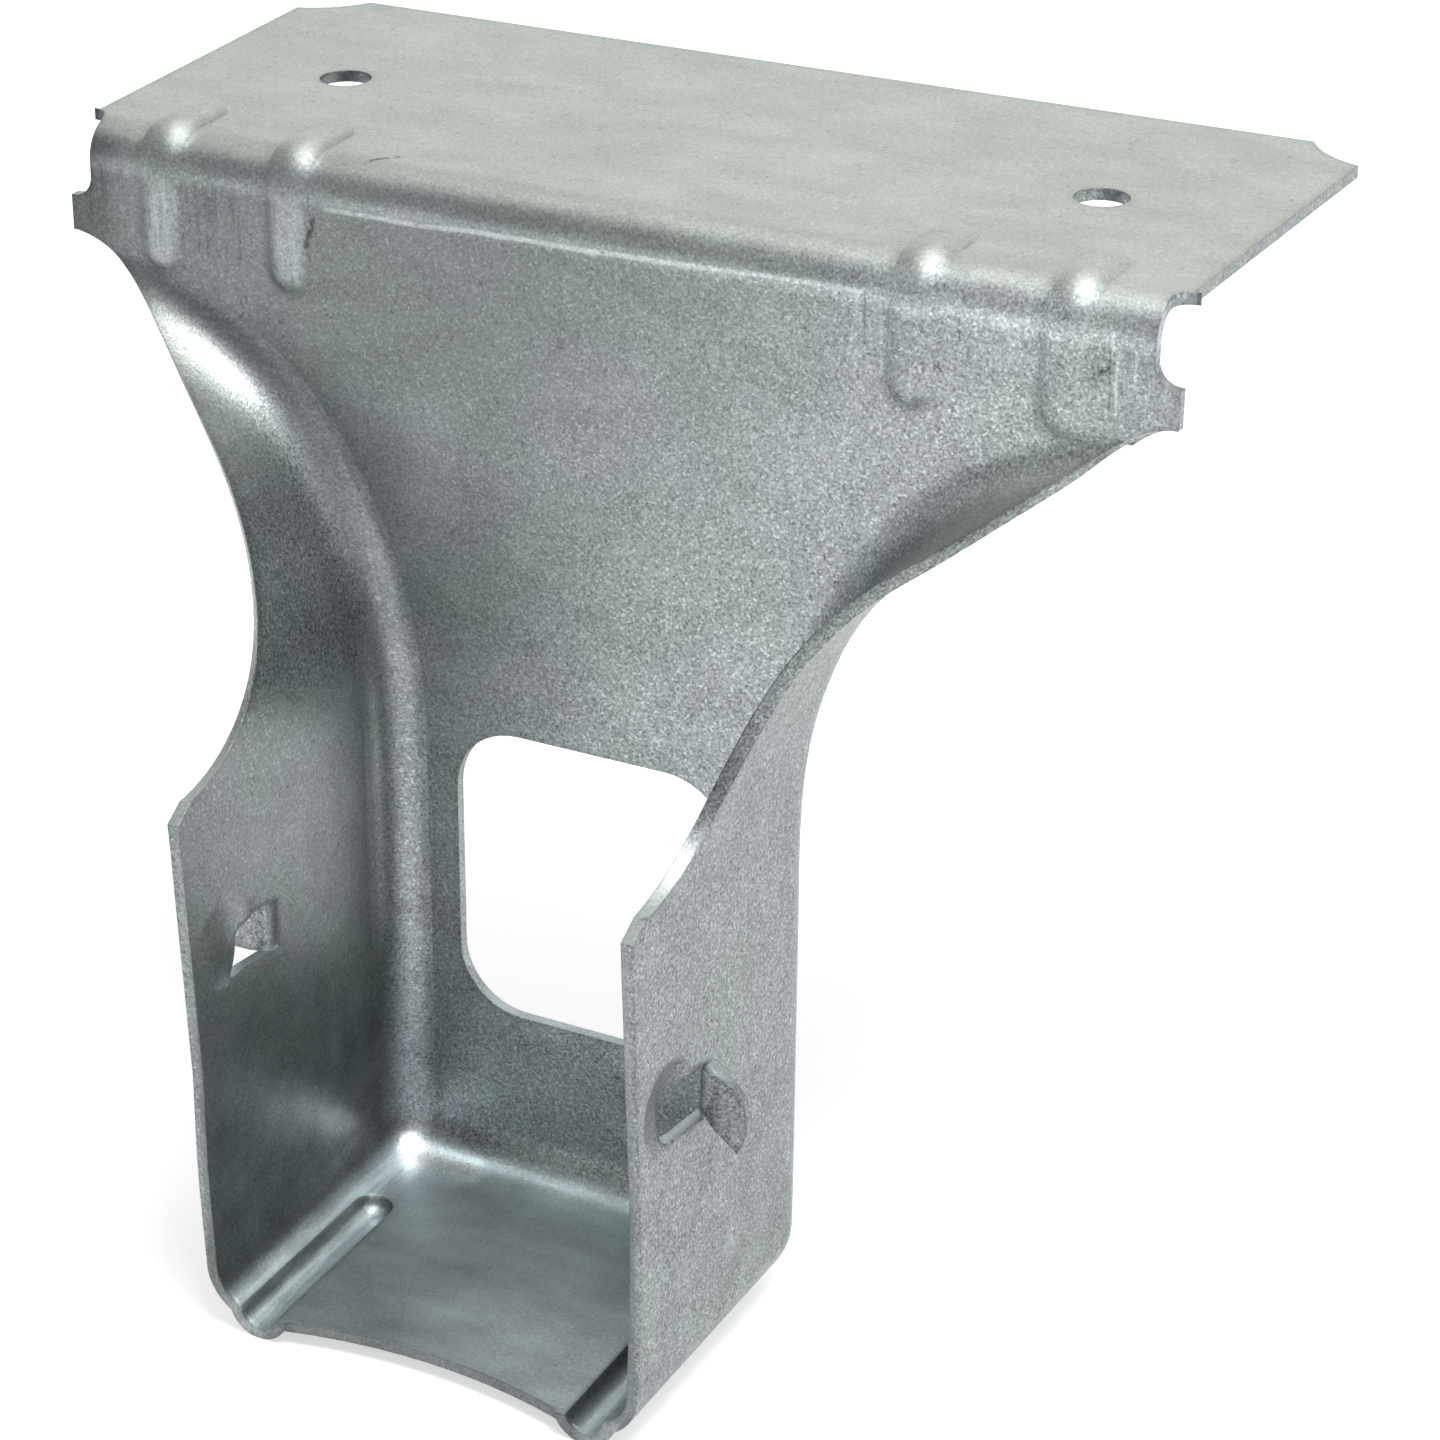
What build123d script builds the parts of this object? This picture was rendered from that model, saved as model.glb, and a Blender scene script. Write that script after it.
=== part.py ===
from build123d import *
import math
import os

# Post frame hanger: one pressed and folded piece of galvanised sheet.
# A flange lies on top of a header, the back plate lies against the header's face,
# and a three sided socket below carries the end of a joist.
# Millimetres. X runs along the header, +Y over it, +Z up.
# The model is built with Y = 0 on the header's face and Z = 0 on the header's top.
# At the end it moves so that the origin lies midway between the two flange nail holes.

# Sheet and socket
sheet = 1.0                 # thickness of the sheet
socket_width = 39.7         # clear width between the walls
seat_drop = 90.0            # header's top down to the seat
wall_reach = 31.6           # header's face to the front edge of the walls, low down
wall_top_reach = 33.0       # the same at the walls' top front corners
wall_top_drop = 42.6        # header's top down to the top of the walls' front corner
corner_trim = 1.2           # height of the small cut at that corner
corner_trim_back = 2.0      # how far the cut reaches back from the corner
lean_end_drop = 68.0        # depth at which the front edge stops leaning

# Flange on top of the header
flange_length = 100.2       # overall, along the header, at the rear
flange_front_length = 97.7  # the same at the notches, as the ends run slightly together
flange_depth = 40.4         # header's face to the flange's rear edge
corner_cut_along = 5.2      # rear corner cuts, along the header
corner_cut_across = 4.3     # rear corner cuts, across the header
corner_cut_hollow = 0.7     # how far the cut bows into the flange
bend_inner = 2.3            # inner radius of the bend over the header's edge

# Nail holes in the flange
nail_hole = 4.5
nail_spacing = 69.6
nail_setback = 19.6         # header's face to the line of holes

# Lower edge of a wing and upper edge of its wall, one line as seen from 45 degrees.
# Each point is a spread and a depth below the header's top.
# The spread is the distance from the middle plus the reach from the header's face.
lip_line = (
    (46.4, 10.2),
    (44.5, 12.5),
    (42.4, 17.0),
    (39.6, 24.0),
    (38.8, 30.0),
    (40.3, 36.0),
    (44.0, 40.0),
)

# Relief notches at the ends of the bend
notch_depth = 2.6
notch_below = 5.5           # down the back plate
notch_behind = 2.8          # along the flange
notch_corner = 1.9

# Wings of the back plate
wing_span = 99.2            # overall width over the wing tips
wing_tip_drop = 8.6         # header's top down to the lower end of a wing tip

# Fold between the back plate and a wall, straight low down and flared towards the mouth
fold_outer = 4.9            # outer radius in the straight part
flare_top = 9.5             # depth of the flare's top, where the wings are still flat
flare_end = 48.0            # depth at which the flare begins
flare_sweep = 16.5          # how far the fold's line swings out on its way to the top
tip_sweep = 14.0            # what it swings out besides, close under the wing tips
tip_fade = 3.6              # depth over which that dies away
mouth_growth = 36.0         # what the fold radius gains at the flare's top
mouth_fade = 4.5            # depth over which that gain dies away
toe_in = 0.2                # lean of the walls towards each other at the flare's top, per mm
seat_fold_outer = 4.7       # outer radius between the seat and its walls
form_steps = 12             # steps between the levels that shape the form
form_crowding = 1.8         # how much closer those levels lie near the mouth

# Window through the back plate
window_width = 26.0
window_drop = 47.0          # header's top to the window's top edge
window_sill = 15.5          # seat to the window's lower edge
window_corner = 6.0

# Stiffening beads over the bend
bead_places = (28.0, 40.5)  # on both sides of the middle
bead_radius = 3.1
bead_rise = 0.85            # how far the bead stands out of the sheet
bead_leg = 10.8             # header's top down to the bead's lower end
bead_tail = 8.0             # header's face back to the bead's end on the flange

# Grooves pressed along the seat's lower corners
groove_radius = 2.8         # outside
groove_inset = 4.25         # inner face of the wall to the groove's middle
groove_drop = 1.3           # how far the groove hangs below the seat
groove_back = 11.0          # header's face to the groove's rounded end

# Front edge of the seat, hollowed between the grooves
seat_hollow = 2.1
seat_hollow_width = 28.4

# Nail guides: a slot with a dished approach and an outward tongue in each wall.
# The two stand at different heights, so that the slanted nails pass each other.
right_guide_height = 27.2   # seat to the middle of the slot
left_guide_height = 31.3    # the same in the left wall
guide_setback = 23.2        # header's face to the middle of the slot
slot_length = 8.4
slot_height = 4.6
slot_rake = 7.0             # degrees, the slot falls towards the header
slot_corner = 0.8
dish_radius = 9.0
dish_depth = 0.9
dish_ahead = 4.0            # middle of the slot to the middle of the dish
dish_above = 1.6            # the same, upwards
tongue_reach = 3.3          # how far the tongue stands out of the wall
tongue_turn = 100.0         # degrees from lying in the slot to its bent place
tongue_bend = 0.8           # inner radius of its bend
right_tongue_point = 2.8    # how far its lower corner hangs below the slot
left_tongue_point = 0.4     # the same on the left wall

# Worked out from the sizes above
half_socket = socket_width / 2
half_flange = flange_length / 2
half_wing = wing_span / 2
straight_start = half_socket + sheet - fold_outer
form_reach = 2 * (fold_outer + mouth_growth)
bend_outer = bend_inner + sheet
seat_underside = seat_drop + sheet
punch_travel = 4 * sheet
far = 2 * (flange_length + seat_drop)


def flare_share(depth):
    """Share of the flare's height that lies below a depth, 0 in the straight part."""
    return max(flare_end - depth, 0) / (flare_end - flare_top)


def fold_start(depth):
    """Half width of the flat of the back plate at a depth below the header's top."""
    swing = flare_sweep * flare_share(depth) ** 2
    return straight_start + swing + tip_sweep * math.exp(-(depth - flare_top) / tip_fade)


def fold_radius(depth):
    """Outer radius of the fold at a depth: small low down, wide at the mouth."""
    return fold_outer + mouth_growth * math.exp(-(depth - flare_top) / mouth_fade)


def wall_slope(depth):
    """How fast the wall's outer face moves outwards for each millimetre upwards."""
    above = fold_start(depth - sheet) + fold_radius(depth - sheet)
    below = fold_start(depth + sheet) + fold_radius(depth + sheet)
    return (above - below) / (2 * sheet)


def form_section(depth, inset):
    """Level section through the socket's form, set in by a thickness square to its skin."""
    start = fold_start(depth)
    radius = fold_radius(depth) - inset * math.hypot(1, wall_slope(depth))
    middle = -inset - radius
    lean = math.atan(toe_in * flare_share(depth) ** 1.5)
    half_turn = math.pi / 4 - lean / 2
    bow = (start + radius * math.cos(half_turn), middle + radius * math.sin(half_turn))
    side = (start + radius * math.cos(lean), middle - radius * math.sin(lean))
    front = (side[0] - math.tan(lean) * (form_reach + side[1]), -form_reach)
    plate = Line((-start, -inset), (start, -inset))
    fold = ThreePointArc((start, -inset), bow, side)
    wall = Line(side, front)
    closing = Line(front, (-front[0], front[1]))
    other_wall = Line((-front[0], front[1]), (-side[0], side[1]))
    other_fold = ThreePointArc((-side[0], side[1]), (-bow[0], bow[1]), (-start, -inset))
    edges = Curve() + [plate, fold, wall, closing, other_wall, other_fold]
    return Pos(0, 0, -depth) * make_face(edges)


def socket_form(inset):
    """Solid form of the socket: the punch's shape for the full inset, the die's for none."""
    floor = seat_underside - inset
    span = floor - flare_top
    # The levels lie close together near the mouth, where the form changes fastest.
    levels = [flare_top + span * (step / form_steps) ** form_crowding for step in range(form_steps + 1)]
    form = loft([form_section(depth, inset) for depth in reversed(levels)])
    bottom = form.faces().sort_by(Axis.Z)[0]
    rim = [edge for edge in bottom.edges() if edge.center().Y > -form_reach + sheet]
    return fillet(rim, seat_fold_outer - inset)


def top_strip():
    """Flange, bend and the top of the back plate, as one bent strip."""
    outer = Polyline((-sheet, -flare_top), (-sheet, sheet), (flange_depth, sheet))
    inner = Polyline((flange_depth, 0), (0, 0), (0, -flare_top))
    profile = make_face(
        Curve() + [outer, Line(outer @ 1, inner @ 0), inner, Line(inner @ 1, outer @ 0)]
    )
    outside = profile.vertices().sort_by_distance((-sheet, sheet, 0))[0]
    profile = fillet(outside, bend_outer)
    inside = profile.vertices().sort_by_distance((0, 0, 0))[0]
    profile = fillet(inside, bend_inner)
    return extrude(Plane.YZ * profile, half_flange, both=True)


def across(face):
    """Cutter through the whole part along X, from a face drawn in Y and Z."""
    return extrude(Plane.YZ * face, far, both=True)


def right_side():
    """The space to the right of the middle."""
    return Box(far, 2 * far, 2 * far, align=(Align.MIN, Align.CENTER, Align.CENTER))


def front_trim():
    """Everything in front of the walls' front edge, seen from the side."""
    low = -seat_underside - far
    corner = (corner_trim_back - wall_top_reach, -wall_top_drop)
    nose = (-wall_top_reach, -wall_top_drop - corner_trim)
    foot = (-wall_reach, -lean_end_drop)
    edge = Polyline((corner[0], 0), corner, nose, foot, (-wall_reach, low))
    rest = Polyline((-wall_reach, low), (-far, low), (-far, 0), (corner[0], 0))
    return across(make_face(Curve() + [edge, rest]))


def lip_trim():
    """Everything past the right wing's and wall's sloping edge, seen from 45 degrees."""
    diagonal = math.sqrt(2)
    tip = ((half_wing + sheet / 2) / diagonal, -wing_tip_drop)
    run = [(spread / diagonal, -depth) for spread, depth in lip_line]
    corner_spread = half_socket + sheet / 2 + wall_top_reach - corner_trim_back
    corner = (corner_spread / diagonal, -wall_top_drop)
    curve = Spline(tip, *run, corner)
    rest = Polyline(corner, (far, corner[1]), (far, tip[1]), tip)
    view = Plane(origin=(0, 0, 0), x_dir=(1, -1, 0), z_dir=(-1, -1, 0))
    return extrude(view * make_face(Curve() + [curve, rest]), far, both=True)


def wing_end():
    """Everything past the right wing's upright end, below the notch."""
    corner = Pos(half_wing, 0, -notch_below)
    return corner * Box(far, 2 * far, far, align=(Align.MIN, Align.CENTER, Align.MAX))


def seat_trim():
    """The hollow cut into the seat's front edge, seen from above."""
    half = seat_hollow_width / 2
    hollow = ThreePointArc((-half, -wall_reach), (0, seat_hollow - wall_reach), (half, -wall_reach))
    rest = Polyline((half, -wall_reach), (half, -far), (-half, -far), (-half, -wall_reach))
    floor = -seat_underside - sheet
    return Pos(0, 0, floor) * extrude(make_face(Curve() + [hollow, rest]), 3 * sheet)


def bend_notch():
    """Relief notch at the right end of the bend, cut through flange and back plate."""
    inner = half_flange - notch_depth
    width = half_flange
    block = Pos(inner + width / 2, notch_behind - far / 2, 0) * Box(width, far, 2 * notch_below)
    near = block.edges().group_by(Axis.X)[0]
    upright = near.filter_by(Axis.Z).sort_by(Axis.Y)[-1]
    level = near.filter_by(Axis.Y).sort_by(Axis.Z)[0]
    return fillet([upright, level], notch_corner)


def flange_end():
    """Everything past the flange's right end, with its rear corner cut bowed inwards."""
    front = (flange_front_length / 2, notch_behind)
    ahead = (half_flange, flange_depth - corner_cut_across)
    behind = (half_flange - corner_cut_along, flange_depth)
    middle = ((ahead[0] + behind[0]) / 2, (ahead[1] + behind[1]) / 2)
    length = math.hypot(corner_cut_along, corner_cut_across)
    bow = (
        middle[0] - corner_cut_hollow * corner_cut_across / length,
        middle[1] - corner_cut_hollow * corner_cut_along / length,
    )
    edge = ThreePointArc(ahead, bow, behind)
    rest = Polyline(behind, (behind[0], far), (far, far), (far, front[1]), front, ahead)
    return extrude(make_face(Curve() + [edge, rest]), far, both=True)


def window():
    """Rounded window through the back plate."""
    height = seat_drop - window_sill - window_drop
    face = RectangleRounded(window_width, height, window_corner)
    middle = -window_drop - height / 2
    return extrude(Plane.XZ * Pos(0, middle) * face, punch_travel, both=True)


def nail_bore():
    """The right nail hole of the flange."""
    return Pos(nail_spacing / 2, nail_setback, 0) * Cylinder(nail_hole / 2, 2 * punch_travel)


def header():
    """The header's own space, with its edge rounded to the inside of the bend."""
    block = Pos(0, far / 2, -far / 2) * Box(2 * far, far, far)
    edge = block.edges().filter_by(Axis.X).sort_by_distance((0, 0, 0))[0]
    return fillet(edge, bend_inner)


def bead(place, radius):
    """Outer half of a round ended rod that follows the bend; what stands out is the bead."""
    sink = bead_radius - bead_rise
    ahead = sink - sheet
    half_width = math.sqrt(bead_radius**2 - sink**2)
    leg = bead_leg - half_width - bend_inner
    tail = bead_tail - half_width - bend_inner
    knee = Plane(origin=(place, ahead, -bend_inner), x_dir=(-1, 0, 0), z_dir=(0, 0, -1))
    hip = Plane(origin=(place, bend_inner, -ahead), x_dir=(-1, 0, 0), z_dir=(0, 1, 0))
    half_disc = Circle(radius) & Rectangle(2 * radius, radius, align=(Align.CENTER, Align.MIN))
    lower = extrude(knee * Rot(0, 0, 180) * half_disc, leg)
    upper = extrude(hip * half_disc, tail)
    turn = Axis((place, bend_inner, -bend_inner), (-1, 0, 0))
    crown = revolve(knee * Rot(0, 0, 180) * half_disc, turn, revolution_arc=90)
    low = Pos(place, ahead, -bend_inner - leg) * Sphere(radius)
    back = Pos(place, bend_inner + tail, -ahead) * Rot(90, 0, 0) * Sphere(radius)
    return lower + crown + upper + low + back


def corner_groove(radius):
    """Round ended rod along the seat's right lower corner, turned about its own axis."""
    length = wall_top_reach + radius
    slant = radius * math.sqrt(0.5)
    front = Polyline((0, 0), (0, -length), (radius, -length), (radius, 0))
    nose = ThreePointArc((radius, 0), (slant, slant), (0, radius))
    half = make_face(Curve() + [front, nose, Line((0, radius), (0, 0))])
    rod = Rot(0, -90, 0) * revolve(half, Axis.Y)
    middle = half_socket - groove_inset
    height = groove_radius - groove_drop - seat_underside
    return Pos(middle, -groove_back - radius, height) * rod


def guide_middle(height):
    """Place of a right slot's middle on the wall's outer face, at a height over the seat."""
    return (half_socket + sheet, -guide_setback, height - seat_drop)


def guide_dish(height, inset):
    """Ball that presses the dish ahead of the slot, on the wall's outside or inside."""
    x, y, z = guide_middle(height)
    ball = Sphere(dish_radius + inset)
    return Pos(x + dish_radius - dish_depth, y - dish_ahead, z + dish_above) * ball


def guide_slot(height):
    """Slot through the right wall."""
    x, y, z = guide_middle(height)
    face = Rot(0, 0, -slot_rake) * RectangleRounded(slot_length, slot_height, slot_corner)
    return extrude(Plane.YZ.offset(x) * Pos(y, z) * face, punch_travel, both=True)


def guide_tongue(height, point):
    """Tongue bent out of the right wall at the slot's rear end, with its lower corner hanging."""
    x, y, z = guide_middle(height)
    hinge = y + slot_length / 2
    middle = tongue_bend + sheet / 2
    turn = math.radians(tongue_turn)
    axis = (x + tongue_bend, hinge)
    start = (x - sheet / 2, hinge)
    half_way = (axis[0] - middle * math.cos(turn / 2), hinge - middle * math.sin(turn / 2))
    stop = (axis[0] - middle * math.cos(turn), hinge - middle * math.sin(turn))
    tip = (stop[0] + tongue_reach * math.sin(turn), stop[1] - tongue_reach * math.cos(turn))
    arc = ThreePointArc(start, half_way, stop)
    strip = trace(Curve() + [Line((start[0], hinge + sheet), start), arc, Line(stop, tip)], sheet)
    bent = Pos(0, 0, z) * extrude(strip, 2 * slot_height, both=True)
    drop = slot_length / 2 * math.sin(math.radians(slot_rake))
    top = z + slot_height / 2 - drop
    bottom = z - slot_height / 2 - drop
    inner = x - sheet
    lowest = (x + tongue_reach - sheet / 2, bottom - point)
    edge = ThreePointArc((x, top), (x + tongue_reach, (top + 2 * bottom) / 3), lowest)
    rest = Polyline(lowest, (x, bottom), (inner, bottom), (inner, top), (x, top))
    outline = extrude(Plane.XZ * make_face(Curve() + [edge, rest]), far, both=True)
    return bent & outline


def half_socket_sheet(form):
    """Right half of the back plate, the right wall and half the seat, cut to their edges."""
    body = (socket_form(0) - form) & right_side()
    body = body - wing_end() - front_trim()
    return body - seat_trim()


def with_flange(body):
    """Half the flange and its bend joined on, with wing edge, notch, end and nail hole."""
    strip = top_strip() & right_side()
    body = body + (strip - wing_end())
    body = body - lip_trim()
    body = body - bend_notch()
    body = body - flange_end()
    return body - nail_bore()


def with_beads(body):
    """The two stiffening beads pressed over this half of the bend."""
    inside = Pos(0, -sheet / 2, sheet / 2) * header()
    for place in bead_places:
        body = body + (bead(place, bead_radius) - inside)
        body = body - bead(place, bead_radius - sheet)
    return body


def with_groove(body, form):
    """The groove pressed into this half's lower corner."""
    skin = corner_groove(groove_radius) - form - front_trim()
    return (body + skin) - corner_groove(groove_radius - sheet)


def on_side(shape, side):
    """A shape made for the right wall, or its mirror image for the left one."""
    return shape if side == "right" else mirror(shape, Plane.YZ)


def with_nail_guide(body, form, side, height, point):
    """Dish, slot and tongue of one wall's nail guide."""
    bulge = (guide_dish(height, sheet) & form) - front_trim()
    body = body + on_side(bulge, side)
    body = body - on_side(guide_dish(height, 0), side)
    body = body - on_side(guide_slot(height), side)
    return body + on_side(guide_tongue(height, point), side)


def hanger():
    """The whole hanger, one solid, with its origin between the flange nail holes."""
    form = socket_form(sheet)
    half = with_flange(half_socket_sheet(form)) - window()
    half = with_groove(with_beads(half), form)
    body = half + mirror(half, Plane.YZ)
    body = with_nail_guide(body, form, "right", right_guide_height, right_tongue_point)
    body = with_nail_guide(body, form, "left", left_guide_height, left_tongue_point)
    return Pos(0, -nail_setback, 0) * body


os.makedirs("parts", exist_ok=True)
export_step(hanger(), "parts/hanger.step")
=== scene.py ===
# %% [markdown]
# # A pressed steel hanger, dressed for its picture
# The hanger comes in as one solid, and is measured. This lesson gives it the camera,
# the studio and the galvanised finish, one step at a time. Lengths of objects are in metres.
# Lengths in the shader are in millimetres, because a finish is easiest to judge that way.

# %% Load the packed hanger
import math
import bpy
import numpy as np
from mathutils import Matrix, Vector


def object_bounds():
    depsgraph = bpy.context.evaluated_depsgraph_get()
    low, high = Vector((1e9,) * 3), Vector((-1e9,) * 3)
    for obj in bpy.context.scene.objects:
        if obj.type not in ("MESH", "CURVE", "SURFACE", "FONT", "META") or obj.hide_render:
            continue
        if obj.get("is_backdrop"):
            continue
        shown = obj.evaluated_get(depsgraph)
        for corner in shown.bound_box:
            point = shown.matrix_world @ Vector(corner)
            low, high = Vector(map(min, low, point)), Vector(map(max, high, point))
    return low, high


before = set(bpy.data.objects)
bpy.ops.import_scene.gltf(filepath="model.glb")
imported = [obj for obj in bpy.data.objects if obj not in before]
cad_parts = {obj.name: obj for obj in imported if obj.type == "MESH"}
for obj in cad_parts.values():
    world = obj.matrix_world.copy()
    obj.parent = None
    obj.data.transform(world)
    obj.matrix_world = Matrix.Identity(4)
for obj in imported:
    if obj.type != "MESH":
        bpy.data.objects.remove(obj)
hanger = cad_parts["hanger"]
lowest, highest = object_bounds()
print("hanger", [round(1000 * (b - a), 1) for a, b in zip(lowest, highest)], "mm")

# %% [markdown]
# ## The camera
# The picture was taken from the right, from above, with a longish lens. The view is set by
# three angles, the distance to the hanger's face, and the lens. The hanger isn't in line
# with the lens, and Blender calls that a shift. A camera could also be aimed with a
# constraint, but a matrix made from the angles says plainly where it looks.

# %% Camera
azimuth = math.radians(29.74)
elevation = math.radians(26.64)
roll = math.radians(-0.90)
distance = 0.3112
sideways, upwards = -0.00603, -0.04129
header_face = Vector((0, -0.0196, 0))
back_of_view = Vector((
    math.sin(azimuth) * math.cos(elevation),
    -math.cos(azimuth) * math.cos(elevation),
    math.sin(elevation),
))
level_right = Vector((math.cos(azimuth), math.sin(azimuth), 0))
level_up = back_of_view.cross(level_right)
view_right = math.cos(roll) * level_right + math.sin(roll) * level_up
view_up = math.cos(roll) * level_up - math.sin(roll) * level_right
eye = header_face + distance * back_of_view + sideways * view_right + upwards * view_up

lens = bpy.data.cameras.new("camera")
lens.sensor_width = 36
lens.lens = 98.93
lens.shift_x = 0.1415
lens.shift_y = 0.0149
lens.clip_start = 0.01
camera = bpy.data.objects.new("camera", lens)
bpy.context.scene.collection.objects.link(camera)
turn = Matrix((view_right, view_up, back_of_view)).transposed().to_4x4()
camera.matrix_world = Matrix.Translation(eye) @ turn
bpy.context.scene.camera = camera
bpy.context.scene.view_settings.view_transform = "Standard"
print("eye", [round(1000 * v) for v in eye], "mm")

# %% [markdown]
# ## Shader sums as plain Python
# A finish is mostly arithmetic: a mask times a colour change, one pattern less another.
# Such sums could be wired by hand, one Math node at a time. Here a small class wraps a
# node's output, so that `1 - mask` adds the node that it stands for.

# %% A wrapped socket
class Signal:
    """A shader node's output. Sums, differences and products of Signals become Math nodes."""

    def __init__(self, tree, socket=None):
        self.tree = tree
        self.socket = socket

    def node(self, kind, settings, values, output=0):
        """Adds a node: its settings first, then the values or links of its sockets."""
        made = self.tree.nodes.new("ShaderNode" + kind)
        for name, value in settings.items():
            setattr(made, name, value)
        for name, value in values.items():
            if isinstance(value, Signal):
                self.tree.links.new(value.socket, made.inputs[name])
            else:
                made.inputs[name].default_value = value
        return Signal(self.tree, made.outputs[output])

    def beside(self, output):
        """Another output of the same node."""
        return Signal(self.tree, self.socket.node.outputs[output])

    def math(self, operation, *values):
        """A Math node on these values."""
        return self.node("Math", {"operation": operation}, dict(enumerate(values)))

    def vector(self, operation, values, output="Vector"):
        """A Vector Math node on these values."""
        return self.node("VectorMath", {"operation": operation}, values, output)

    def __add__(self, other):
        return self.math("ADD", self, other)

    def __sub__(self, other):
        return self.math("SUBTRACT", self, other)

    def __rsub__(self, other):
        return self.math("SUBTRACT", other, self)

    def __mul__(self, other):
        return self.math("MULTIPLY", self, other)

    def __abs__(self):
        return self.math("ABSOLUTE", self)

    __radd__ = __add__
    __rmul__ = __mul__


print("operators", [name for name in vars(Signal) if name.startswith("__r")])

# %% [markdown]
# ## Masks and colours
# Two sums come back all the time: a smooth step from 0 to 1, which is how a mask begins and
# ends, and a blend of two colours. A Math node would turn a colour grey, so colours are
# blended by a Mix node. It keeps sockets for each kind of data, and these are its colour ones.

# %% Steps and blends
BLEND_SHARE, BLEND_FIRST, BLEND_SECOND, BLEND_RESULT = 0, 6, 7, 2
white = (1.0, 1.0, 1.0, 1.0)


def ramp_up(value, low, high):
    """0 below low, 1 above high, and a smooth step between."""
    values = {"Value": value, "From Min": low, "From Max": high}
    return value.node("MapRange", {"interpolation_type": "SMOOTHSTEP"}, values)


def ramp_down(value, low, high):
    """1 below low, 0 above high, and a smooth step between."""
    return 1 - ramp_up(value, low, high)


def blended(maker, share, first, second, blend="MIX"):
    """The first colour at share 0, and the blend of both in full at share 1."""
    settings = {"data_type": "RGBA", "blend_type": blend, "clamp_factor": True}
    values = {BLEND_SHARE: share, BLEND_FIRST: first, BLEND_SECOND: second}
    return maker.node("Mix", settings, values, BLEND_RESULT)


def tone(red, green, blue):
    """A colour as a screen gives it, 0 to 255, turned into the linear values of a shader."""
    parts = np.array((red, green, blue)) / 255
    linear = np.where(parts < 0.04045, parts / 12.92, ((parts + 0.055) / 1.055) ** 2.4)
    return (*linear.tolist(), 1.0)


print("middle grey", [round(part, 3) for part in tone(128, 128, 128)])

# %% [markdown]
# ## The studio floor
# The hanger stands on its seat on a pale sheet that bends up behind it, as photographers use.
# The sheet is a profile, which is a floor line, a quarter circle and a wall line, carried
# along a straight path. A flat plane would do for the floor alone, but the metal would then
# mirror an empty horizon.

# %% Pale sheet
def carried(name, profile, path):
    """Surface whose point (i, j) is path point i plus profile point j."""
    points = path[:, None, :] + profile[None, :, :]
    rows, columns = points.shape[:2]
    corner = (np.arange(rows - 1)[:, None] * columns + np.arange(columns - 1)).ravel()
    faces = np.stack((corner, corner + 1, corner + columns + 1, corner + columns), axis=1)
    mesh = bpy.data.meshes.new(name)
    mesh.from_pydata(points.reshape(-1, 3).tolist(), [], faces[:, ::-1].tolist())
    mesh.shade_smooth()
    made = bpy.data.objects.new(name, mesh)
    bpy.context.scene.collection.objects.link(made)
    return made


floor_front, floor_back, wall_bend, wall_top, half_width = -1.6, 0.9, 0.45, 1.3, 2.0
floor_points, bend_points, path_points = 11, 24, 16
floor_line = np.linspace(floor_front, floor_back, floor_points + 1)[:-1]
quarter = np.linspace(0, math.pi / 2, bend_points)
along_y = np.concatenate((
    floor_line, floor_back + wall_bend * np.sin(quarter), [floor_back + wall_bend]))
along_z = np.concatenate((
    np.zeros(floor_points), wall_bend * (1 - np.cos(quarter)), [wall_top]))
profile = np.stack((np.zeros_like(along_y), along_y, along_z + lowest.z), axis=1)
path = np.linspace((-half_width, 0, 0), (half_width, 0, 0), path_points)
sheet = carried("pale_sheet", profile, path)
sheet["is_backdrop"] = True
print("pale sheet", len(sheet.data.polygons), "faces")


# %% [markdown]
# ## White where the camera looks
# A white background could be had with more light, but that would wash out the metal. Instead
# the sheet gives off a little light of its own, only to rays from the camera, from gloss
# and through glass. It is added to the light that falls on the sheet, so shadows stay. The
# sheet isn't counted as a lamp, which saves a good part of the render's time.

# %% Sheet finish
def new_material(name):
    """An empty material, and a Signal that its first nodes are added through."""
    made = bpy.data.materials.new(name)
    made.use_nodes = True
    made.node_tree.nodes.clear()
    return made, Signal(made.node_tree)


def give_out(shader):
    """Links the finished shader to its material's output."""
    end = shader.tree.nodes.new("ShaderNodeOutputMaterial")
    shader.tree.links.new(shader.socket, end.inputs["Surface"])


glow_strength = 0.55
paper, start = new_material("pale_paper")
seen = start.node("LightPath", {}, {}, "Is Camera Ray")
glossy, through = seen.beside("Is Glossy Ray"), seen.beside("Is Transmission Ray")
seen = seen.math("MAXIMUM", seen, seen.math("MAXIMUM", glossy, through))
matt = start.node("BsdfDiffuse", {}, {"Color": tone(222, 223, 222)})
glow = start.node("Emission", {}, {"Color": white, "Strength": seen * glow_strength})
give_out(start.node("AddShader", {}, {0: matt, 1: glow}))
paper.cycles.emission_sampling = "NONE"
sheet.data.materials.append(paper)
print("pale paper nodes", len(paper.node_tree.nodes))


# %% [markdown]
# ## Soft light
# A large key lamp hangs almost overhead, a little in front and to the right, because the
# brightest streaks lie on metal that faces there. A wide lamp overhead lights the flange, and
# a weaker one on the right lights the outer wall. Small hard lamps would be simpler, but they
# leave pinpricks on zinc, not broad soft streaks. The world is the room: pale behind and
# overhead, a third dimmer low in front, where the bend and the socket's inside look.

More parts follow.
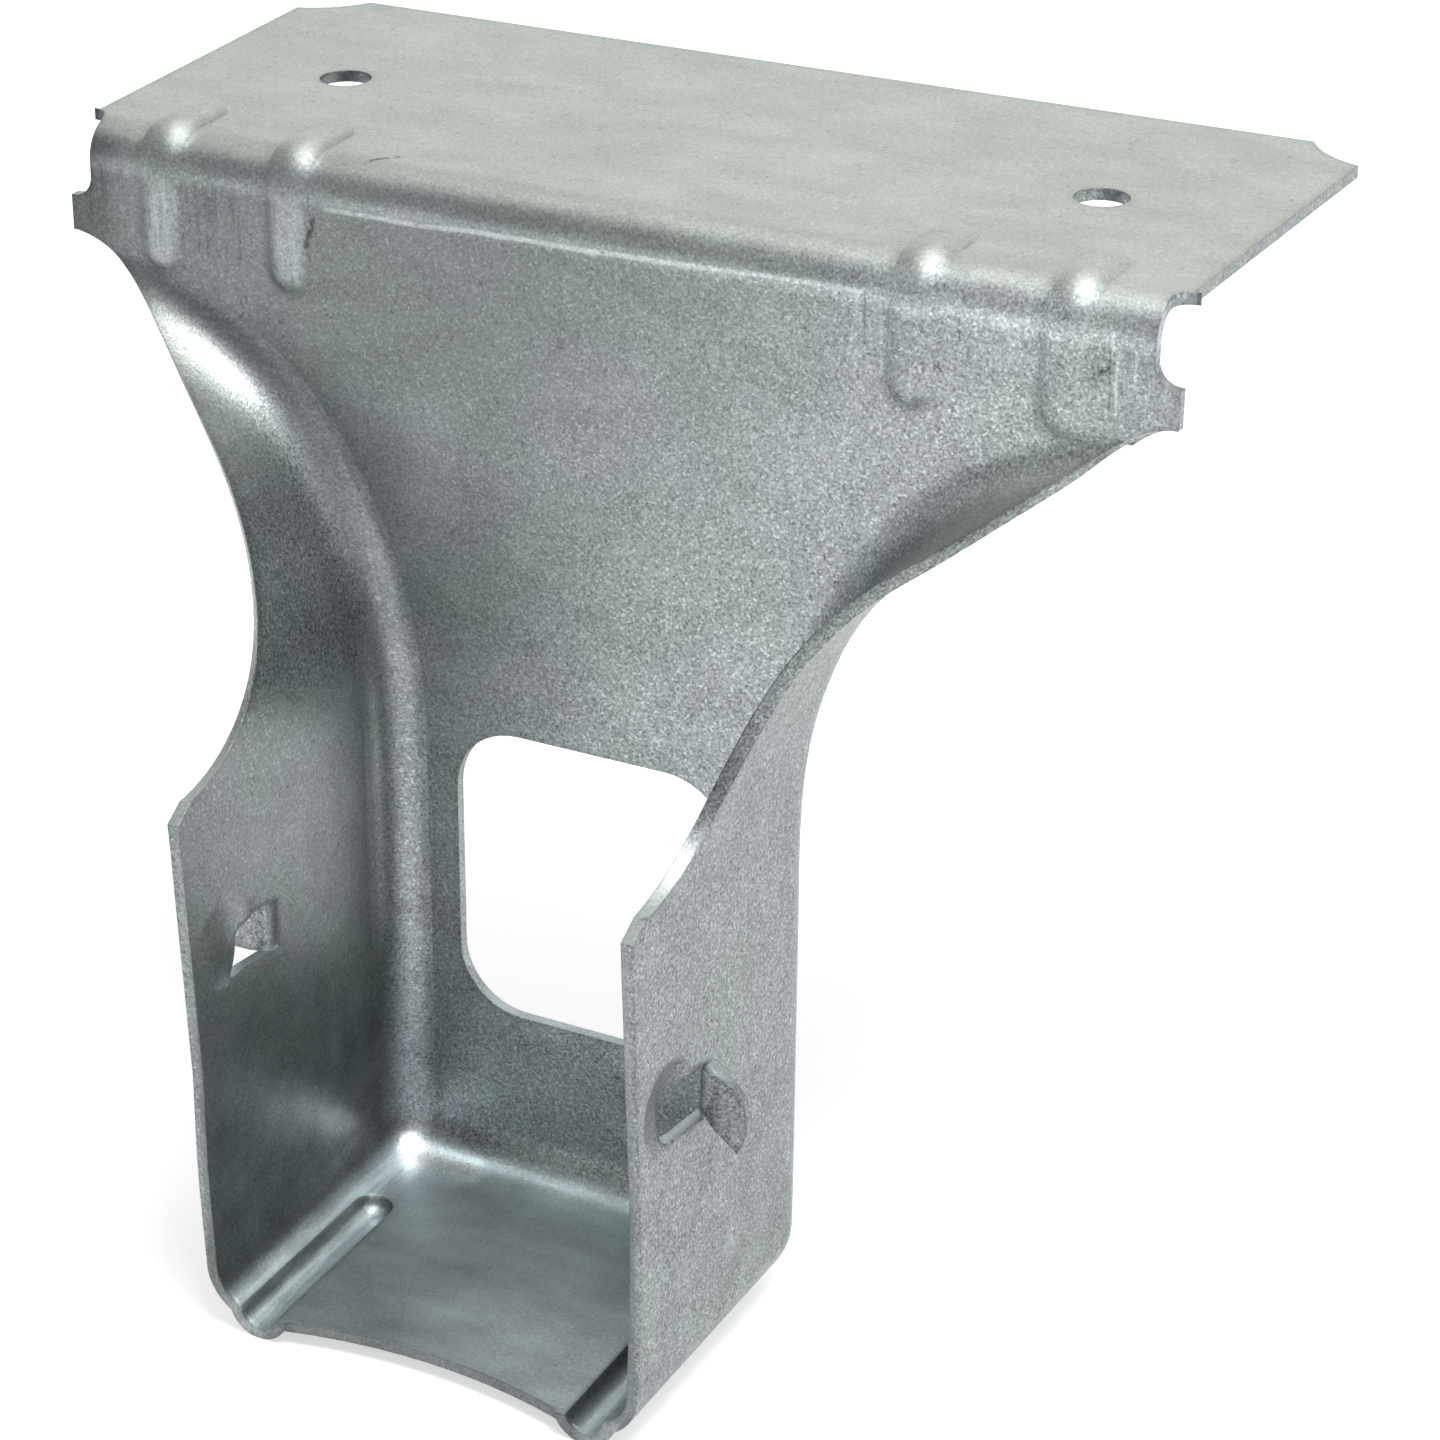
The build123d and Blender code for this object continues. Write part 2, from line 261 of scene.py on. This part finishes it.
# %% Lamps and room
def soft_lamp(name, direction, reach, size, power):
    """Square area lamp at a distance from the hanger's middle, turned to face it."""
    light = bpy.data.lights.new(name, "AREA")
    light.size = size
    light.energy = power
    lamp = bpy.data.objects.new(name, light)
    bpy.context.scene.collection.objects.link(lamp)
    away = Vector(direction).normalized()
    lamp.matrix_world = away.to_track_quat("Z", "Y").to_matrix().to_4x4()
    lamp.location = lit_middle + reach * away


lit_middle = Vector((0, -0.02, -0.04))
soft_lamp("key", (0.30, -0.18, 0.93), reach=0.9, size=0.30, power=4.2)
soft_lamp("overhead", (0.05, 0.25, 1.0), reach=1.0, size=0.9, power=2.6)
soft_lamp("right_side", (1.0, 0.25, 0.15), reach=1.0, size=0.7, power=0.8)

dim_room, pale_extra = 0.36, 0.18
room = bpy.data.worlds.new("room")
bpy.context.scene.world = room
room.use_nodes = True
room.node_tree.nodes.clear()
start = Signal(room.node_tree)
heading = start.node("TexCoord", {}, {}, "Generated")
room_y = heading.node("SeparateXYZ", {}, {"Vector": heading}, "Y")
room_z = room_y.beside("Z")
brightness = dim_room + pale_extra * ramp_up(room_y + 0.8 * room_z, -0.7, 0.8)
backing = start.node("Background", {}, {"Color": white, "Strength": brightness})
end = room.node_tree.nodes.new("ShaderNodeOutputWorld")
room.node_tree.links.new(backing.socket, end.inputs["Surface"])

# %% [markdown]
# ## Galvanised steel
# Hot dipped zinc is a skin of tiny crystals, dulled by handling. From a hand's width away
# it looks grey with a fine sparkle, soft cloudy patches and darker flecks. The crystals
# could be an image, but patterns worked out from the place in space need no unwrapping,
# and run over the bends without a seam.

# %% Place on the metal
zinc, start = new_material("galvanised")
place = start.node("TexCoord", {}, {}, "Object")
place = place.vector("SCALE", {0: place, "Scale": 1000})
x = place.node("SeparateXYZ", {}, {"Vector": place}, "X")
y, z = x.beside("Y"), x.beside("Z")


# %% Patterns by place
def noise(place, size, detail, roughness):
    """Soft random pattern between 0 and 1, with lumps of about size millimetres."""
    values = {"Vector": place, "Scale": 1 / size, "Detail": detail, "Roughness": roughness}
    return place.node("TexNoise", {}, values)


def flakes(place, size):
    """Crystals of about size millimetres, each with one random value between 0 and 1."""
    values = {"Vector": place, "Scale": 1 / size}
    colour = place.node("TexVoronoi", {}, values, "Color")
    return colour.node("SeparateXYZ", {}, {"Vector": colour})


def stretched(place, factors):
    """The place with each axis multiplied, which draws patterns out along an axis."""
    return place.vector("MULTIPLY", {0: place, 1: factors})


grain = noise(place, 0.26, detail=2.0, roughness=0.7)
cloud = noise(place, 13.0, detail=1.0, roughness=0.55)
speck = noise(place, 0.75, detail=2.0, roughness=0.7)
blotch = noise(stretched(place, (0.5, 1.0, 1.0)), 4.0, detail=1.0, roughness=0.6)
brushed = noise(stretched(place, (2.0, 1.0, 0.13)), 1.0, detail=2.0, roughness=0.7)
along_groove = noise(stretched(place, (2.2, 0.16, 1.0)), 1.0, detail=1.0, roughness=0.7)
crystal = flakes(place, 0.19)
sparkle = ramp_up(crystal, 0.86, 0.96)
fleck = ramp_up(speck, 0.62, 0.70)
streaks = ramp_up(brushed, 0.50, 0.66)
print("pattern nodes", len(zinc.node_tree.nodes))

# %% [markdown]
# ## Sheared edges
# The press shears the sheet, so its edges are bright torn steel with a dark lip of dirt.
# Nothing in the mesh marks them. But the sheet is 1 mm thick, so a shorter ray sent into
# the metal meets a surface again only near a sheared face. Ambient occlusion, turned
# inside, finds those places.

# %% Edge masks
buried = start.node(
    "AmbientOcclusion",
    {"inside": True, "only_local": True, "samples": 1}, {"Distance": 0.00085}, "AO")
near_edge = ramp_down(buried, 0.55, 0.98)
on_edge = ramp_down(buried, 0.30, 0.62)
torn = speck * 2 - 0.4
print("nodes with the edges", len(zinc.node_tree.nodes))

# %% [markdown]
# ## Soft feet
# On the real sheet the beads, the nail guides and the seat's grooves swell softly out of
# the metal. The solid has a hard foot there, because a fillet on such a shape often fails.
# The Bevel node rounds only the shading, and its radius may change from place to place, so
# it is thin on every edge and wide over those three shapes.

# %% Rounded shading
bead_middle, bead_apart, bead_top, bead_low = 34.25, 6.25, -8.5, -13.0
guide_y, guide_z, guide_half, guide_wall = -41, -61, 10.0, 18.0
groove_x, groove_half, seat_bend = 16.0, 3.75, -87.75
thin_radius, bead_radius, small_radius = 0.00018, 0.0015, 0.0006

from_bead = abs(abs(abs(x) - bead_middle) - bead_apart)
bead_zone = ramp_down(from_bead, 3.4, 5.0) * ramp_up(z, bead_low - 1, bead_low + 1)
bead_zone = bead_zone * ramp_down(y, bead_top - 1.5, bead_top + 1.5)
guide_zone = ramp_up(abs(x), guide_wall - 0.5, guide_wall + 0.5)
guide_zone = guide_zone * ramp_down(abs(z - guide_z), guide_half - 1, guide_half + 1)
guide_zone = guide_zone * ramp_down(abs(y - guide_y), guide_half - 1, guide_half + 1)
groove_zone = ramp_down(abs(abs(x) - groove_x), groove_half - 0.75, groove_half + 0.75)
groove_zone = groove_zone * ramp_down(z, seat_bend - 0.75, seat_bend + 0.75)
softened = thin_radius + bead_radius * bead_zone
softened = softened + small_radius * guide_zone + small_radius * groove_zone
rounded = start.node("Bevel", {"samples": 1}, {"Radius": softened})
print("nodes with the feet", len(zinc.node_tree.nodes))


# %% [markdown]
# ## Marks of the press
# The bend was struck by a die, and its lower end left a thin bright line. Beside the beads
# the die rubbed the zinc into upright streaks, and it left short dark nicks. Such marks are
# shallower than a hair, so they are tone and polish, not shape. Each is a mask: a band, a
# box with soft sides, or a scratch between two points.

# %% Two kinds of mask
def box_mask(centre, half, soft):
    """1 within a box on x and z, and a smooth fall to 0 over the width soft."""
    within_x = ramp_down(abs(x - centre[0]), half[0], half[0] + soft)
    within_z = ramp_down(abs(z - centre[1]), half[1], half[1] + soft)
    return within_x * within_z


def scratch(first, second, width):
    """1 on the line from the first to the second point, and 0 beyond its width.

    The nearest point of the line is the first point plus a share of the way along, and the
    share is the offset from the first point, dotted with the way along over its length
    squared, held between 0 and 1.
    """
    first, second = Vector(first), Vector(second)
    along = second - first
    offset = place.vector("SUBTRACT", {0: place, 1: first})
    share = offset.vector("DOT_PRODUCT", {0: offset, 1: along / along.length_squared}, "Value")
    share = share.node("Clamp", {}, {"Value": share})
    reached = share.vector("SCALE", {0: along, "Scale": share})
    gap = offset.vector("SUBTRACT", {0: offset, 1: reached})
    gap = gap.vector("LENGTH", {0: gap}, "Value")
    return ramp_down(gap, 0.3 * width, width)


# %% Line under the bend, rubs and smudges
line_z, line_slope, line_end = -2.45, 0.02, 23.5
front = ramp_down(y, -20.3, -19.6)
coined = abs(z - line_z - line_slope * x + 0.5 * (blotch - 0.5))
coined = ramp_down(coined, 0.08, 0.32) * ramp_down(abs(x), line_end, line_end + 1.5)
coined = coined * front * ramp_up(speck, 0.28, 0.46)
rubbed = (
    box_mask((46.2, -4.9), (2.1, 3.0), 0.5)
    + 0.5 * box_mask((34.0, -4.2), (2.3, 1.6), 0.6)
    + 0.5 * box_mask((25.0, -5.0), (1.6, 3.0), 0.8)
) * streaks * front
smudge = (
    box_mask((-34.2, -5.6), (2.6, 2.8), 0.8)
    + box_mask((-46.0, -5.0), (1.6, 2.4), 0.8)
) * front * ramp_down(brushed, 0.34, 0.54)
print("nodes with the rubs", len(zinc.node_tree.nodes))

# %% Nicks, and painted highlights on the bead crests
nicks = (
    scratch((-25.5, -20.6, -4.0), (-26.1, -20.8, -6.3), 0.35)
    + scratch((-21.6, -18.3, 0.8), (-19.7, -16.5, 1.0), 0.35)
    + scratch((43.8, -20.6, -4.6), (42.8, -20.6, -5.5), 0.3)
    + 0.5 * scratch((24.0, -20.6, -1.9), (24.1, -20.6, -6.0), 0.18)
    + 0.5 * scratch((43.9, -20.6, -2.2), (44.1, -20.6, -7.6), 0.18)
    + 0.6 * scratch((31.8, -20.6, -2.7), (31.9, -20.6, -4.6), 0.18)
) * ramp_up(speck, 0.36, 0.50)
# Painted highlights along the crests of the two left beads, broken up by grain and streaks.
crest_highlights = (
    scratch((-39.9, -21.4, -4.0), (-40.1, -21.4, -9.2), 1.9)
    + scratch((-27.4, -21.4, -4.0), (-27.6, -21.4, -9.4), 1.9)
) * front * (0.5 + 0.9 * (grain - 0.5) + 0.3 * streaks)
print("nodes with the nicks", len(zinc.node_tree.nodes))

# %% [markdown]
# ## Inside the seat
# The die rubbed the zinc bright along the seat's two grooves, and the grooves are also
# painted lighter, as light that lifts their shade. The corners behind them get painted
# highlights, the brightest spots of the socket. The streaks are noise drawn out along the
# grooves, and the corners are wide scratches, which follow the metal round its bends where a
# flat patch would be cut off.

# %% Grooves and corners
# Painted light along the seat's grooves, mixed with their real rub.
groove_rub_and_light = ramp_down(abs(abs(x) - 17.0), 1.4, 2.6) * ramp_down(z, -90.0, -88.0)
groove_rub_and_light = groove_rub_and_light * (0.5 + 0.5 * ramp_up(along_groove, 0.40, 0.62))
# Painted highlights in the socket's two back corners.
corner_highlights = (
    scratch((-16.6, -23.2, -89.4), (-11.8, -23.8, -90.4), 3.4)
    + scratch((16.6, -23.2, -89.4), (11.8, -23.8, -90.4), 3.4)
)
print("nodes with the grooves", len(zinc.node_tree.nodes))

# %% [markdown]
# ## Parts of the hanger
# The zinc isn't the same everywhere. Metal that faces up is painted palest, as light from
# above. The plate's lower right and the outer wall have the coarsest grain, and the lower
# right is also painted brighter, as reflection. The inside is smooth and painted dark, as its
# shade. The bend and a patch by the left lip are painted lighter, and the plate's far left
# darker, as light and shade. The mesh has no names for these parts, and cutting it up for
# them would leave seams, but their places and the way they face tell them apart.

# %% Regions
facing = start.node("NewGeometry", {}, {}, "Normal")
level = ramp_up(facing.node("SeparateXYZ", {}, {"Vector": facing}, "Z"), 0.50, 0.97)
upright = 1 - level
on_plate = ramp_up(y, -24.0, -21.0)
face = on_plate * upright
walls = (1 - on_plate) * upright
outer = walls * ramp_up(abs(x), 20.1, 20.7)
# The socket's inner walls, which are painted darker as their shade.
inside_shade = (walls - outer) * ramp_down(z, -74.0, -50.0)
# The bend under the flange, and a patch by the left lip, which are painted lighter as light on
# them.
bend = ramp_down(abs(z + 1.2), 1.0, 2.2) * ramp_down(y, -19.6, -18.2)
painted_light_patch = box_mask((-23.0, -26.0), (7.0, 5.0), 7.0)
# Brighter towards the plate's lower right: painted reflection. It also sets where the grain is
# coarsest.
coarse_and_reflection_drift = ramp_up(0.6 * x - 0.5 * z, -6.0, 30.0) * (1 - 0.35 * ramp_up(x, 38.0, 47.0))
print("nodes with the regions", len(zinc.node_tree.nodes))

# %% [markdown]
# ## Colour
# Two greys drift into each other on the upright metal, and two paler ones lie on the metal
# that faces up, greener on the flange than on the seat; that paleness is painted light from
# above. They are multiplied by one strength, which starts at 1 and takes on grain, flecks,
# regions, marks and edges in turn, and with them painted light, shade and highlights. Adding
# each of them as a colour of its own would need many more nodes.

# %% Strength of the tone
grain_share, crystal_share, sparkle_share, fleck_share = 1.9, 0.50, 0.25, 0.14
coarse = (0.55 + 0.45 * face * coarse_and_reflection_drift + 0.6 * outer) * (1 - 0.5 * level)
patches = 0.35 + 0.45 * ramp_down(z, -80.0, -60.0)
strength = 1.0 + coarse * (
    grain_share * (grain - 0.5) + crystal_share * (crystal - 0.5) + sparkle_share * sparkle)
strength = strength - fleck_share * fleck + patches * (blotch - 0.5)
# Painted reflection: the plate is brighter towards its lower right and darker at its upper
# left.
strength = strength * (1 + face * (0.62 * coarse_and_reflection_drift - 0.24))
# Painted shade inside the socket; the outer wall is a tenth darker.
strength = strength * (1 - 0.34 * inside_shade - 0.10 * outer)
# Painted light on the bend and on the patch by the left lip.
strength = strength * (1 + 0.5 * bend) * (1 + 0.36 * painted_light_patch)
# Painted shade on the plate's far left.
strength = strength * (1 - 0.4 * face * ramp_down(x, -47.5, -43.0))
# The coined line and the rubs are marks of the press; the bead crests get painted highlights.
strength = strength + 0.7 * coined + 0.6 * rubbed + 0.9 * crest_highlights
# Painted light in the grooves, along with their rub, and painted highlights in the corners.
strength = strength + 0.65 * groove_rub_and_light + 0.9 * corner_highlights
worn = 0.10 + 0.34 * ramp_down(y, -46.0, -34.0)
strength = strength * (1 - 0.40 * near_edge + worn * torn * on_edge)
strength = strength * (1 - 0.22 * smudge) * (1 - 0.6 * nicks)
print("nodes with the strength", len(zinc.node_tree.nodes))

# %% Colour of the zinc
grey = blended(
    start, ramp_up(cloud, 0.38, 0.64), tone(145, 153, 152), tone(147, 152, 156))
# Paler tones on metal that faces up: painted light from above, greener on the flange than on
# the seat.
top_light_tone = blended(
    start, ramp_up(z, -60.0, -30.0), tone(190, 203, 205), tone(188, 195, 188))
colour = blended(start, level, grey, top_light_tone)
colour = blended(start, 1.0, colour, strength, blend="MULTIPLY")
print("nodes with the colour", len(zinc.node_tree.nodes))

# %% [markdown]
# ## Polish and relief
# The same grain that moves the colour also moves the polish and the relief, because on the
# real sheet they are one thing, the crystals. Specks of sparkle, rubbed streaks and the
# corners with painted highlights are shinier, and flecks are duller. Zinc is a metal with a
# dull skin, so Metallic stays a little under 1.

# %% Put the finish together
polish = 0.40 + 0.16 * (grain - 0.5) - 0.10 * sparkle + 0.10 * fleck
polish = polish - 0.08 * rubbed - 0.12 * corner_highlights
relief = start.node("Bump", {}, {
    "Height": grain, "Strength": 0.9, "Distance": 0.00002, "Normal": rounded})
give_out(start.node("BsdfPrincipled", {}, {
    "Base Color": colour, "Metallic": 0.85, "Roughness": polish, "Normal": relief}))
for slot in hanger.material_slots:
    slot.material = zinc
print("galvanised nodes", len(zinc.node_tree.nodes), "slots", len(hanger.material_slots))

# %% [markdown]
# ## Sizes
# Dressing the hanger must not change its size, so both boxes are printed, before and after.

# %% Boxes
lowest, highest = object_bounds()
print("dressed", [round(1000 * (b - a), 1) for a, b in zip(lowest, highest)], "mm")
